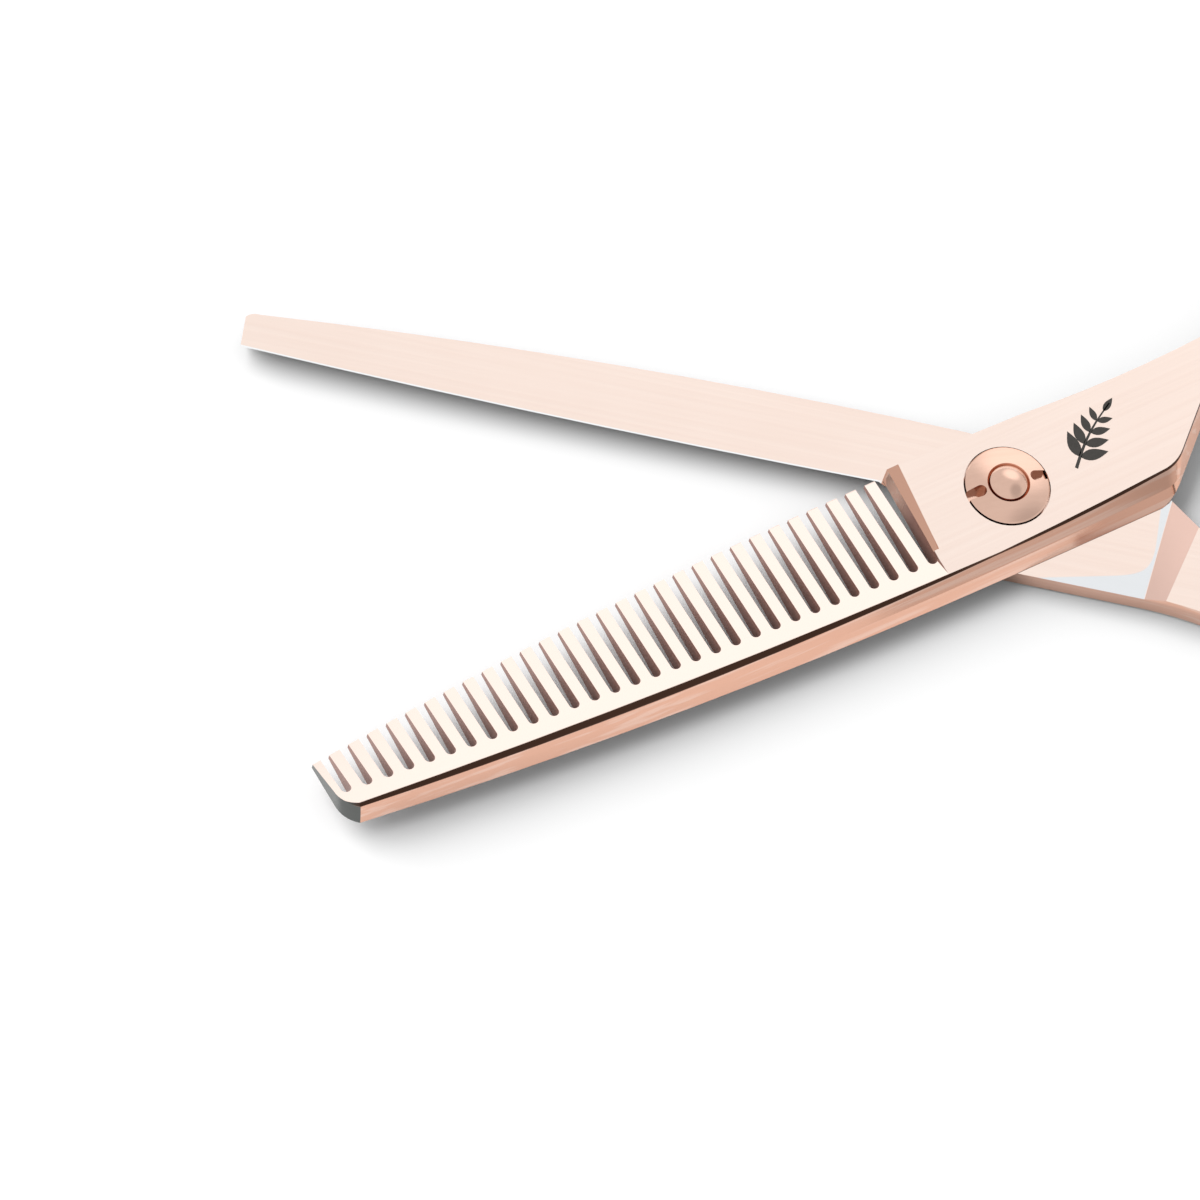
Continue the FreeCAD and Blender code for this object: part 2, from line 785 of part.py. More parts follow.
def make_handle(label, turn, ring_reach, ring_side, stations):
    """A shank through its stations, and the ring it ends in."""
    body = new_body(label, turn)
    sections = []
    for index, station in enumerate(stations):
        sections.append(section(body, "%s_station_%d" % (label, index), *station))
    loft(body, label + "_shank", sections)
    ring = new_sketch(body, label + "_ring_section", "XZ_Plane", height=-ring_side, side=ring_reach)
    inner = size("ring_bore") / 2
    outer = inner + size("ring_width")
    high = size("ring_thickness")
    rounding = size("ring_rounding")
    outline(ring, [
        (inner + rounding, nothing),
        (outer - rounding, nothing, rounding, "right"),
        (outer, rounding),
        (outer, high - rounding, rounding, "right"),
        (outer - rounding, high),
        (inner + rounding, high, rounding, "right"),
        (inner, high - rounding),
        (inner, rounding, rounding, "right"),
    ])
    revolve(body, label + "_ring", ring)
    return body


thumb_ring_side = size("thumb_bore_side") + size("ring_bore") / 2
finger_ring_side = size("finger_bore_side") + size("ring_bore") / 2


def join_place(ring_reach, ring_side, angle, way):
    """Where a shank's middle meets the middle of its ring's width."""
    middle = size("ring_bore") / 2 + size("ring_width") / 2
    return ring_reach - middle * cosine(angle), ring_side + middle * sine(angle) * way


def make_thumb_handle():
    """Shank and ring welded to the comb half."""
    high = size("ring_thickness")
    width = size("shank_half_width")
    lift = size("shank_lift")
    slope = tangent(size("comb_crotch_angle"))
    bend = size("crotch_bend_reach")
    weld = size("comb_weld_reach")
    bend_side = (bend - size("comb_crotch_reach")) * slope - size("comb_ride_spine")
    weld_side = bend_side + (weld - bend) * tangent(size("crotch_bend_angle"))
    relief = size("ramp_rise") + size("blade_clearance")
    low_left = weld_side + size("facet_crotch_in") * relief / size("facet_height")
    join_reach, join_side = join_place(
        size("thumb_ring_reach"), thumb_ring_side, size("thumb_join_angle"), -1)
    return make_handle("thumb_handle", comb_turn, size("thumb_ring_reach"), thumb_ring_side, [
        (weld, low_left, low_left + size("thumb_neck_lean"), size("comb_weld_side"),
         comb_under + relief, comb_top, size("neck_rounding")),
        bar(size("thumb_shank_reach"), size("thumb_shank_side"), width + size("shoulder_widening"),
            size("shoulder_lift"), high - lift / 2),
        bar(size("thumb_bend_reach"), size("thumb_bend_side"), width, lift, high),
        bar(join_reach, join_side, width - size("join_narrowing"), lift, high - lift),
    ])


def make_finger_blank():
    """Shank and ring welded to the plain half, before its two threaded holes."""
    high = size("ring_thickness")
    width = size("shank_half_width")
    lift = size("shank_lift")
    neck_left = -size("finger_neck_side") - size("finger_neck_half_width")
    join_reach, join_side = join_place(
        size("finger_ring_reach"), -finger_ring_side, size("finger_join_angle"), 1)
    return make_handle("finger_blank", plain_turn, size("finger_ring_reach"), -finger_ring_side, [
        (size("plain_weld_reach"), neck_left, neck_left,
         size("finger_neck_half_width") - size("finger_neck_side"),
         size("floor_gap"), interface + size("ramp_rise"), size("neck_rounding")),
        bar(size("finger_shank_reach"), -size("finger_shank_side"), width + size("shoulder_widening"),
            lift, high - lift * 2),
        bar(size("finger_bend_reach"), -size("finger_bend_side"), width, lift, high),
        bar(size("finger_straight_reach"), -size("finger_straight_side"), width, lift, high),
        bar(join_reach, join_side, width - size("join_narrowing"), lift, high - lift),
    ])


def measure(alias):
    return SIZES[alias]


def turned(point, angle):
    """A point turned about the screw's axis, by degrees."""
    return FreeCAD.Rotation(FreeCAD.Vector(0, 0, 1), angle).multVec(point)


RING_OUTSIDE = measure("ring_bore") / 2 + measure("ring_width")
FINGER_CENTRE = FreeCAD.Vector(
    measure("finger_ring_reach"), -finger_ring_side.number, measure("ring_thickness") / 2)
THUMB_CENTRE = FreeCAD.Vector(
    measure("thumb_ring_reach"), thumb_ring_side.number, measure("ring_thickness") / 2)


def seat_placement(outward):
    """A frame at a seat on the finger ring: Z points out of the ring, Y points down."""
    sideways = FreeCAD.Vector(outward.y, -outward.x, 0)
    rotation = FreeCAD.Rotation(sideways, FreeCAD.Vector(0, 0, -1), outward, "ZXY")
    seat = FINGER_CENTRE + outward * (RING_OUTSIDE - measure("spot_depth"))
    turn = FreeCAD.Placement(
        FreeCAD.Vector(), FreeCAD.Rotation(FreeCAD.Vector(0, 0, 1), plain_turn.number))
    return turn.multiply(FreeCAD.Placement(seat, rotation))


shut_thumb_centre = turned(THUMB_CENTRE, measure("closed_lead"))
bumper_way = shut_thumb_centre - FINGER_CENTRE
bumper_gap = bumper_way.Length - 2 * RING_OUTSIDE
bumper_tall = as_size(bumper_gap) + size("spot_depth") - size("bumper_clearance")
bumper_way.normalize()
rest_way = turned(FreeCAD.Vector(1, 0, 0), -measure("rest_angle"))
BUMPER_SEAT = seat_placement(bumper_way)
REST_SEAT = seat_placement(rest_way)


def cutter(name, seat, radius, low, length):
    """A cylinder on a seat's axis that starts at low."""
    tool = doc.addObject("Part::Cylinder", name)
    tool.setExpression("Radius", radius.text)
    tool.setExpression("Height", length.text)
    tool.Placement = seat.multiply(FreeCAD.Placement(FreeCAD.Vector(0, 0, low), FreeCAD.Rotation()))
    return tool


def make_finger_handle():
    """The finger handle with a flat seat and a threaded hole for the bumper and for the rest."""
    blank = make_finger_blank()
    spot = size("spot_depth") + size("overrun") * 3
    tools = []
    for name, seat, seat_radius, hole_radius, depth in (
            ("bumper", BUMPER_SEAT, size("bumper_diameter") / 2 + size("spot_margin"),
             size("bumper_stud") / 2, size("bumper_stud_length")),
            ("rest", REST_SEAT, size("rest_collar") / 2 + size("spot_margin"),
             size("rest_thread") / 2 + size("thread_clearance"), size("rest_thread_length"))):
        tools.append(cutter(name + "_spot", seat, seat_radius, 0, spot))
        tools.append(cutter(name + "_hole", seat, hole_radius, -depth.number, depth + size("overrun")))
    joined = doc.addObject("Part::MultiFuse", "handle_cutters")
    joined.Shapes = tools
    cut = doc.addObject("Part::Cut", "finger_handle")
    cut.Label = "finger_handle"
    cut.Base = blank
    cut.Tool = joined
    return cut


def make_bumper_cushion():
    """Rubber button that the thumb ring meets when the shears shut."""
    body = doc.addObject("PartDesign::Body", "bumper_cushion")
    body.Label = "bumper_cushion"
    body.Placement = BUMPER_SEAT
    sketch = new_sketch(body, "cushion_section", "XZ_Plane")
    stud = size("bumper_stud") / 2
    outer = size("bumper_diameter") / 2
    chamfer = size("bumper_chamfer")
    outline(sketch, [
        (stud, nothing),
        (outer, nothing),
        (outer, bumper_tall - chamfer),
        (outer - chamfer, bumper_tall),
        (nothing, bumper_tall),
        (nothing, bumper_tall / 2),
        (stud, bumper_tall / 2),
    ])
    revolve(body, "cushion_turned", sketch)
    return body


def make_bumper_stud():
    """Threaded stud that holds the bumper cushion to the finger ring."""
    body = doc.addObject("PartDesign::Body", "bumper_stud")
    body.Label = "bumper_stud"
    body.Placement = BUMPER_SEAT
    sketch = new_sketch(body, "stud_section", height=-size("bumper_stud_length"))
    circle(sketch, size("bumper_stud") / 2)
    pad(body, "stud_pad", sketch, size("bumper_stud_length") + bumper_tall / 2)
    return body


def make_finger_rest():
    """Hooked rest for the little finger, with the thread and collar that hold it to the ring."""
    body = doc.addObject("PartDesign::Body", "finger_rest")
    body.Label = "finger_rest"
    body.Placement = REST_SEAT
    thread = new_sketch(
        body, "rest_thread_section", height=size("thread_clearance") - size("rest_thread_length"))
    circle(thread, size("rest_thread") / 2)
    pad(body, "rest_thread_pad", thread, size("rest_thread_length") + size("rest_washer"))
    collar = new_sketch(body, "rest_collar_section", height=size("rest_washer"))
    circle(collar, size("rest_collar") / 2)
    pad(body, "rest_collar_pad", collar, size("rest_collar_length"))
    start = size("rest_washer") + size("rest_collar_length")
    rod = new_sketch(body, "rest_rod_section", height=start, side=size("rest_bend"))
    circle(rod, size("rest_rod") / 2, -size("rest_bend"), nothing)
    bend = revolve(body, "rest_bend_swept", rod)
    bend.setExpression("Angle", size("rest_sweep").text)
    doc.recompute()
    sweep = math.radians(measure("rest_sweep"))
    radius = measure("rest_bend")
    tip = FreeCAD.Vector(radius * (1 - math.cos(sweep)), 0, start.number + radius * math.sin(sweep))
    edges = []
    for index, edge in enumerate(bend.Shape.Edges, start=1):
        if (edge.CenterOfMass - tip).Length < NEAR and edge.isClosed():
            edges.append("Edge%d" % index)
    rounding = body.newObject("PartDesign::Fillet", "rest_tip")
    rounding.Base = (bend, edges)
    rounding.setExpression("Radius", (size("rest_rod") / 2 - size("rest_tip_flat")).text)
    return body


def make_finger_rest_washer():
    """Plastic washer between the rest's collar and the ring."""
    body = doc.addObject("PartDesign::Body", "finger_rest_washer")
    body.Label = "finger_rest_washer"
    body.Placement = REST_SEAT
    sketch = new_sketch(body, "rest_washer_section", "XZ_Plane")
    inner = size("rest_thread") / 2 + size("thread_clearance")
    outer = size("rest_collar") / 2
    high = size("rest_washer") - size("stack_clearance")
    outline(sketch, [(inner, nothing), (outer, nothing), (outer, high), (inner, high)])
    revolve(body, "rest_washer_turned", sketch)
    return body


parts = [
    make_comb_blade(),
    make_plain_blade(),
    make_pivot_screw(),
    make_pivot_bush(),
    make_glide_washer(),
    make_thrust_washer(),
    make_spring_washer(),
    make_tension_nut(),
    make_thumb_handle(),
    make_finger_handle(),
    make_bumper_cushion(),
    make_bumper_stud(),
    make_finger_rest(),
    make_finger_rest_washer(),
]
doc.recompute()

faults = [item.Name + " " + str(item.State) for item in doc.Objects
          if "Invalid" in item.State or "Error" in item.State]
for part in parts:
    if part.Shape.isNull() or not part.Shape.isValid():
        faults.append(part.Label + " has no valid shape")
if faults:
    raise RuntimeError("; ".join(faults))

os.makedirs("parts", exist_ok=True)
for part in parts:
    part.Shape.exportStep(os.path.join("parts", part.Label + ".step"))
    box = part.Shape.BoundBox
    print("%-20s volume %9.3f  solids %d  x %7.2f %7.2f  y %7.2f %7.2f  z %6.2f %6.2f" % (
        part.Label, part.Shape.Volume, len(part.Shape.Solids),
        box.XMin, box.XMax, box.YMin, box.YMax, box.ZMin, box.ZMax))
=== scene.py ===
import math

import bpy
from mathutils import Matrix, Vector


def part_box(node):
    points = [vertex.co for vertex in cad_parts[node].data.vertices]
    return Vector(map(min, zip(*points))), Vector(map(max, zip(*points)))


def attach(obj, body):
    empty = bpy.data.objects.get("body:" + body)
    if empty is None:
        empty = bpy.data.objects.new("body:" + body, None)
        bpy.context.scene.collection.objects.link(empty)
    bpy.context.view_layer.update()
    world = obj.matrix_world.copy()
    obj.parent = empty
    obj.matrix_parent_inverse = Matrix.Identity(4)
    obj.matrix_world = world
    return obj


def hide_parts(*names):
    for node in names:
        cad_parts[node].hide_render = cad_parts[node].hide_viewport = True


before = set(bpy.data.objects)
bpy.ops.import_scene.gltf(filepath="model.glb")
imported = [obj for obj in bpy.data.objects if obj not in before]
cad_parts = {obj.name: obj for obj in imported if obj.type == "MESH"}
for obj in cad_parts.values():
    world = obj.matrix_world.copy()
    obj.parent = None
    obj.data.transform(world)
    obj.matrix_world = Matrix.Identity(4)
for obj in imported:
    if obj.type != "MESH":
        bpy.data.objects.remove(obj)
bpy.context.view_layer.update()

MM = 0.001
# Each half is turned about the screw by this much from where the shears are shut.
HALF_OPENING = math.radians(19.25)

# ---------------------------------------------------------------- camera

AIM = Vector((-38.95, -7.12, 5.0)) * MM
CAMERA_DISTANCE = 0.86307
CAMERA_AZIMUTH = math.radians(-28.486)
CAMERA_ELEVATION = math.radians(61.287)
CAMERA_ROLL = math.radians(19.604)
LENS = 294.0
SENSOR_WIDTH = 36.0
FARTHEST = 10.0


def direction(azimuth, elevation):
    """The way from the object to a place round it: azimuth 0 is towards -Y."""
    return Vector((math.sin(azimuth) * math.cos(elevation),
                   -math.cos(azimuth) * math.cos(elevation),
                   math.sin(elevation)))


def make_camera():
    out = direction(CAMERA_AZIMUTH, CAMERA_ELEVATION)
    data = bpy.data.cameras.new("camera")
    data.lens = LENS
    data.sensor_width = SENSOR_WIDTH
    data.clip_end = FARTHEST
    camera = bpy.data.objects.new("camera", data)
    bpy.context.scene.collection.objects.link(camera)
    turn = out.to_track_quat("Z", "Y").to_matrix() @ Matrix.Rotation(CAMERA_ROLL, 3, "Z")
    camera.matrix_world = Matrix.Translation(AIM + out * CAMERA_DISTANCE) @ turn.to_4x4()
    bpy.context.scene.camera = camera


make_camera()


# ---------------------------------------------------------------- shader arithmetic

class Field:
    """A number at each point of a surface, worked out by shader nodes."""

    def __init__(self, tree, value):
        self.tree = tree
        self.value = value

    def math(self, operation, *others):
        node = self.tree.nodes.new("ShaderNodeMath")
        node.operation = operation
        for socket, item in zip(node.inputs, (self,) + others):
            plug(self.tree, item, socket)
        return Field(self.tree, node.outputs[0])

    def __add__(self, other):
        return self.math("ADD", other)

    def __sub__(self, other):
        return self.math("SUBTRACT", other)

    def __mul__(self, other):
        return self.math("MULTIPLY", other)

    def __neg__(self):
        return self.math("MULTIPLY", -1.0)

    def inverse(self):
        """1 where the field is 0, and 0 where it is 1."""
        return -self + 1.0

    def step(self, low, high):
        """0 below low, 1 above high and smooth between."""
        node = self.tree.nodes.new("ShaderNodeMapRange")
        node.interpolation_type = "SMOOTHSTEP"
        plug(self.tree, self, node.inputs["Value"])
        node.inputs["From Min"].default_value = low
        node.inputs["From Max"].default_value = high
        return Field(self.tree, node.outputs["Result"])


def plug(tree, item, socket):
    """Links a field or a socket, or sets a plain value."""
    if isinstance(item, Field):
        item = item.value
    if isinstance(item, bpy.types.NodeSocket):
        tree.links.new(item, socket)
    else:
        socket.default_value = item


def mix_colour(tree, share, first, second):
    node = tree.nodes.new("ShaderNodeMix")
    node.data_type = "RGBA"
    plug(tree, share, node.inputs[0])
    plug(tree, first, node.inputs[6])
    plug(tree, second, node.inputs[7])
    return node.outputs[2]


def noise(tree, vector, scale, detail=2.0, roughness=0.5):
    node = tree.nodes.new("ShaderNodeTexNoise")
    plug(tree, vector, node.inputs["Vector"])
    node.inputs["Scale"].default_value = scale
    node.inputs["Detail"].default_value = detail
    node.inputs["Roughness"].default_value = roughness
    return Field(tree, node.outputs["Fac"])


def dot(tree, vector, way):
    node = tree.nodes.new("ShaderNodeVectorMath")
    node.operation = "DOT_PRODUCT"
    plug(tree, vector, node.inputs[0])
    node.inputs[1].default_value = way
    return Field(tree, node.outputs["Value"])


class Surface:
    """A material, and its place in millimetres in a frame turned about the screw."""

    def __init__(self, name, turn=0.0):
        self.material = bpy.data.materials.new(name)
        self.material.use_nodes = True
        self.tree = self.material.node_tree
        self.shader = self.tree.nodes["Principled BSDF"]
        coordinates = self.tree.nodes.new("ShaderNodeTexCoord")
        self.point = self.turned(coordinates.outputs["Object"], turn, 1 / MM)
        self.normal = self.turned(coordinates.outputs["Normal"], turn, 1.0)
        self.x, self.y, self.z = self.split(self.point)
        self.nx, self.ny, self.nz = self.split(self.normal)

    def turned(self, vector, turn, scale):
        node = self.tree.nodes.new("ShaderNodeMapping")
        plug(self.tree, vector, node.inputs["Vector"])
        node.inputs["Rotation"].default_value = (0.0, 0.0, -turn)
        node.inputs["Scale"].default_value = (scale, scale, scale)
        return node.outputs["Vector"]

    def split(self, vector):
        node = self.tree.nodes.new("ShaderNodeSeparateXYZ")
        plug(self.tree, vector, node.inputs[0])
        return [Field(self.tree, output) for output in node.outputs]

    def stretched(self, stretch):
        node = self.tree.nodes.new("ShaderNodeMapping")
        plug(self.tree, self.point, node.inputs["Vector"])
        node.inputs["Scale"].default_value = stretch
        return node.outputs["Vector"]

    def bump(self, height, distance, strength=1.0):
        node = self.tree.nodes.new("ShaderNodeBump")
        plug(self.tree, height, node.inputs["Height"])
        node.inputs["Distance"].default_value = distance
        node.inputs["Strength"].default_value = strength
        plug(self.tree, node.outputs["Normal"], self.shader.inputs["Normal"])

    def set(self, name, value):
        plug(self.tree, value, self.shader.inputs[name])


# ---------------------------------------------------------------- materials

# Colours of the bare and coated metal, in linear light. The lit and shade pairs are painted light:
# one coat painted paler where faces lie flat and painted shade on walls. The slot and ramp colours
# are painted shade, and the bevel colour is a painted dark reflection.
ROSE_PAINTED_LIT = (0.935, 0.785, 0.705, 1.0)
ROSE_PAINTED_SHADE = (0.76, 0.435, 0.318, 1.0)
HANDLE_PAINTED_SHADE = (0.86, 0.53, 0.40, 1.0)
RAMP_PAINTED_SHADE = (0.90, 0.62, 0.53, 1.0)
FITTING_PAINTED_LIT = (0.95, 0.63, 0.50, 1.0)
FITTING_PAINTED_SHADE = (0.42, 0.20, 0.13, 1.0)
SLOT_PAINTED_SHADE = (0.30, 0.14, 0.105, 1.0)
BEVEL_PAINTED_REFLECTION = (0.09, 0.045, 0.03, 1.0)
CUT_END = (0.12, 0.125, 0.12, 1.0)
ENGRAVED = (0.06, 0.055, 0.05, 1.0)
STEEL = (0.78, 0.80, 0.82, 1.0)
HONED = (0.93, 0.94, 0.95, 1.0)
BRONZE = (0.7, 0.55, 0.25, 1.0)
WHITE_PLASTIC = (0.85, 0.85, 0.83, 1.0)
BLACK_RUBBER = (0.03, 0.03, 0.03, 1.0)

# The painted lit colour comes in between these heights of a face's normal, and the painted shade
# below them.
GROUND_SLOPES = (0.945, 0.975)
FITTING_SLOPES = (0.45, 0.7)
HANDLE_SLOPES = (0.2, 0.97)
# How strongly the pale brushing marks show on walls.
GROUND_STREAKS = 0.28
FITTING_STREAKS = 0.1
HANDLE_STREAKS = 0.03
STREAK_STRETCH = (0.03, 2.2, 2.2)
STREAK_DEPTH = 0.000002
GRAIN_DEPTH = 0.00001

# Places on the comb half, in millimetres, with the shears shut.
TEETH_START = 9.0
TIP_CORNER_START = 68.1
BEVEL_HEIGHT = 4.80
# The bare band on the plain half: the edges of the coated middle, and the ramp's start.
BAND_START = 1.0
COAT_END = 14.3
COAT_LINE_START = 3.5
COAT_LINE_SLOPE = 0.258
COAT_LINE_SIDE = 7.3
COAT_CORNER = 4.0
RAMP_START = 14.9
RAMP_SKEW = 0.13
# The plain half's cutting edge: its middle, how it leans, how far it bulges and how it curves.
EDGE_MIDDLE = 40.35
EDGE_SLOPE = -0.0086
EDGE_SIDE = -0.6
EDGE_BULGE = 0.39
EDGE_CURVE = -0.000459
EDGE_HEEL = (10.5, 11.5)
HONED_WIDTH = (0.12, 0.2)


def coat(surface, painted_lit_colour, painted_shade_colour, slopes, streaking):
    """Rose-gold colour with painted light: a painted lit colour where the ground faces lie flat,
    and painted shade, deeper and streaked, on walls.
    """
    flat = surface.nz.math("ABSOLUTE").step(*slopes)
    streaks = noise(surface.tree, surface.stretched(STREAK_STRETCH), 1.0, 4.0)
    worn = noise(surface.tree, surface.point, 0.12, 2.0)
    colour = mix_colour(surface.tree, flat, painted_shade_colour, painted_lit_colour)
    light_streak = flat.inverse() * streaks.step(0.5, 0.62) * streaking
    colour = mix_colour(surface.tree, light_streak, colour, painted_lit_colour)
    shade = streaks.step(0.3, 0.7) * 0.06 + worn.step(0.3, 0.7) * 0.03
    colour = mix_colour(surface.tree, shade, colour, painted_shade_colour)
    surface.set("Metallic", 1.0)
    surface.set("Roughness", streaks * 0.08 + worn * 0.05 + 0.07)
    return colour, streaks


def make_comb_material():
    surface = Surface("rose_comb", HALF_OPENING)
    colour, streaks = coat(surface, ROSE_PAINTED_LIT, ROSE_PAINTED_SHADE, GROUND_SLOPES, GROUND_STREAKS)
    # Painted shade: the walls in the slots between the teeth are painted dark brown and made less
    # metallic, standing in for the shade in the slots.
    upright = surface.nz.math("ABSOLUTE").step(0.3, 0.7).inverse()
    reach = -surface.x
    toothed = surface.ny.step(-0.35, -0.1) * reach.step(TEETH_START, TEETH_START + 0.2)
    painted_slot_shade = upright * toothed
    colour = mix_colour(surface.tree, painted_slot_shade, colour, SLOT_PAINTED_SHADE)
    surface.set("Metallic", painted_slot_shade * -0.7 + 1.0)
    past_heel = reach.step(TEETH_START, TEETH_START + 0.3)
    # The faces sloping up on the toothed side get the painted lit colour.
    toothed_face = surface.ny.step(0.02, 0.05) * surface.nz.step(0.7, 0.8) * past_heel
    colour = mix_colour(surface.tree, toothed_face, colour, ROSE_PAINTED_LIT)
    # Painted shade: the heel's bevel gets the coat's painted shade colour.
    heel_bevel = (-surface.nx).step(0.06, 0.14) * surface.nz.step(0.6, 0.8)
    colour = mix_colour(surface.tree, heel_bevel, colour, ROSE_PAINTED_SHADE)
    # The narrow bevel under the ridge is painted dark brown: a painted dark reflection.
    painted_bevel_reflection = surface.z.step(BEVEL_HEIGHT, BEVEL_HEIGHT + 0.02) * (-surface.ny).step(0.12, 0.25)
    colour = mix_colour(surface.tree, painted_bevel_reflection, colour, BEVEL_PAINTED_REFLECTION)
    end = (-surface.nx).step(0.3, 0.6) * reach.step(TIP_CORNER_START, TIP_CORNER_START + 0.2)
    colour = mix_colour(surface.tree, end, colour, CUT_END)
    surface.set("Base Color", colour)
    surface.bump(streaks, STREAK_DEPTH)
    return surface.material


def make_plain_material():
    surface = Surface("rose_plain", -HALF_OPENING)
    colour, streaks = coat(surface, ROSE_PAINTED_LIT, ROSE_PAINTED_SHADE, GROUND_SLOPES, GROUND_STREAKS)
    level = surface.nz.step(0.9995, 0.9998)
    # The bare band that the comb half rides on: round the coated middle, and up to the ramp.
    line = (surface.x - COAT_LINE_START) * COAT_LINE_SLOPE - COAT_LINE_SIDE - surface.y
    outside_coat = (surface.x - COAT_END).math("SMOOTH_MAX", line, COAT_CORNER)
    short_of_ramp = (surface.y * RAMP_SKEW - surface.x + RAMP_START).step(0.0, 0.1)
    band = outside_coat.step(0.0, 0.15) * short_of_ramp * (surface.x - BAND_START).step(0.0, 1.0)
    colour = mix_colour(surface.tree, band * level, colour, STEEL)
    # Painted shade: the ramp's sloping face is painted a deeper pink.
    ramp = short_of_ramp.inverse() * level.inverse() * surface.nz.step(0.9, 0.95)
    colour = mix_colour(surface.tree, ramp, colour, RAMP_PAINTED_SHADE)
    # The honed line along the cutting edge.
    along = surface.x + EDGE_MIDDLE
    edge = along * EDGE_SLOPE + EDGE_SIDE - (along * along * EDGE_CURVE + EDGE_BULGE)
    near_edge = (surface.y - edge).math("ABSOLUTE").step(*HONED_WIDTH).inverse()
    honed = near_edge * level * (-surface.x).step(*EDGE_HEEL)
    colour = mix_colour(surface.tree, honed, colour, HONED)
    surface.set("Base Color", colour)
    surface.bump(streaks, STREAK_DEPTH)
    return surface.material


def make_turned_material(name, painted_lit_colour, painted_shade_colour, slopes, streaking):
    """The coat alone, with its painted lit flat faces and painted shade on its walls, and no marks
    of grinding.
    """
    surface = Surface(name)
    colour, streaks = coat(surface, painted_lit_colour, painted_shade_colour, slopes, streaking)
    surface.set("Base Color", colour)
    surface.bump(streaks, STREAK_DEPTH)
    return surface.material


def make_plain_surface(name, colour, metallic, roughness):
    surface = Surface(name)
    grain = noise(surface.tree, surface.point, 3.0, 3.0)
    dark = tuple(c * 0.85 for c in colour[:3]) + (1.0,)
    surface.set("Base Color", mix_colour(surface.tree, grain.step(0.35, 0.65), dark, colour))
    surface.set("Metallic", metallic)
    surface.set("Roughness", grain * 0.1 + roughness)
    surface.bump(grain, GRAIN_DEPTH)
    return surface.material


def paint(node, material):
    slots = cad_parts[node].data.materials
    slots.clear()
    slots.append(material)


# The fittings and handles are painted lighter where their faces lie flat and carry painted shade
# on their walls.
rose_fitting = make_turned_material(
    "rose_fitting", FITTING_PAINTED_LIT, FITTING_PAINTED_SHADE, FITTING_SLOPES, FITTING_STREAKS)
rose_handle = make_turned_material(
    "rose_handle", ROSE_PAINTED_LIT, HANDLE_PAINTED_SHADE, HANDLE_SLOPES, HANDLE_STREAKS)
steel = make_plain_surface("bare_steel", STEEL, 1.0, 0.2)
washer = make_plain_surface("washer_plastic", WHITE_PLASTIC, 0.0, 0.4)
MATERIALS = {
    "comb_blade": make_comb_material(),
    "plain_blade": make_plain_material(),
    "pivot_screw": rose_fitting,
    "tension_nut": rose_fitting,
    "thumb_handle": rose_handle,
    "finger_handle": rose_handle,
    "finger_rest": rose_handle,
    "pivot_bush": make_plain_surface("bush_metal", BRONZE, 1.0, 0.3),
    "glide_washer": washer,
    "thrust_washer": washer,
    "finger_rest_washer": washer,
    "spring_washer": steel,
    "bumper_stud": steel,
    "bumper_cushion": make_plain_surface("cushion_rubber", BLACK_RUBBER, 0.0, 0.5),
}
for node, material in MATERIALS.items():
    paint(node, material)


# ---------------------------------------------------------------- smooth handles

VOXEL = 0.35
SMOOTHING_ROUNDS = 12


def make_smooth_handle(node, body):
    """The handle with its shank blended into its ring and its edges rounded by polishing."""
    handle = bpy.data.objects.new("smooth_" + node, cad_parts[node].data.copy())
    bpy.context.scene.collection.objects.link(handle)
    handle.data.materials.clear()
    handle.data.materials.append(rose_handle)
    blend = handle.modifiers.new("blend", "REMESH")
    blend.mode = "VOXEL"
    blend.voxel_size = VOXEL * MM
    blend.use_smooth_shade = True
    polish = handle.modifiers.new("polish", "SMOOTH")
    polish.iterations = SMOOTHING_ROUNDS
    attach(handle, body)
    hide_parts(node)


make_smooth_handle("thumb_handle", "comb_half")
make_smooth_handle("finger_handle", "plain_half")


# ---------------------------------------------------------------- the sprig on the comb half

SPRIG_CENTRE = (9.8, 1.0)
SPRIG_TILT = math.radians(35.0)
# How far the sprig's faces stand above and below the steel.
SPRIG_RISE = 0.012
SPRIG_DEPTH = 0.01
STEM_LENGTH = 7.6
STEM_BOW = 0.35
STEM_HALF_WIDTH = 0.16
STEM_TAPER = 0.10
STEM_STEPS = 12
LEAF_PLACES = (0.16, 0.34, 0.52, 0.70)
LEAF_LENGTH = 2.7
LEAF_SHORTENING = 0.4
LEAF_WIDTH = 0.42
LEAF_ANGLE = math.radians(48.0)
LEAF_OFFSET = 0.05
LEAF_STEPS = 8
LEAF_BELLY = 0.8
END_LEAF_PLACE = 0.86
END_LEAF_ANGLE = math.radians(-6.0)
END_LEAF_SIZE = (1.7, 0.65)


def leaf_outline(base, angle, length, width):
    """A pointed leaf from its base, as points round its edge."""
    points = []
    for index in range(2 * LEAF_STEPS):
        outward = index < LEAF_STEPS
        side = 1 if outward else -1
        share = index / LEAF_STEPS if outward else 2 - index / LEAF_STEPS
        across = side * width / 2 * math.sin(math.pi * share ** LEAF_BELLY)
        along = length * share
        points.append((base[0] + along * math.cos(angle) - across * math.sin(angle),
                       base[1] + along * math.sin(angle) + across * math.cos(angle)))
    return points


def stem_point(share):
    """The stem's middle line, by the share of its length from its foot."""
    return (share - 0.5) * STEM_LENGTH, STEM_BOW * math.sin(math.pi * share)


def stem_outline():
    """The stem, tapering to its end."""
    upper = []
    lower = []
    for index in range(STEM_STEPS + 1):
        share = index / STEM_STEPS
        x, y = stem_point(share)
        half_width = STEM_HALF_WIDTH - STEM_TAPER * share
        upper.append((x, y + half_width))
        lower.append((x, y - half_width))
    return upper + lower[::-1]


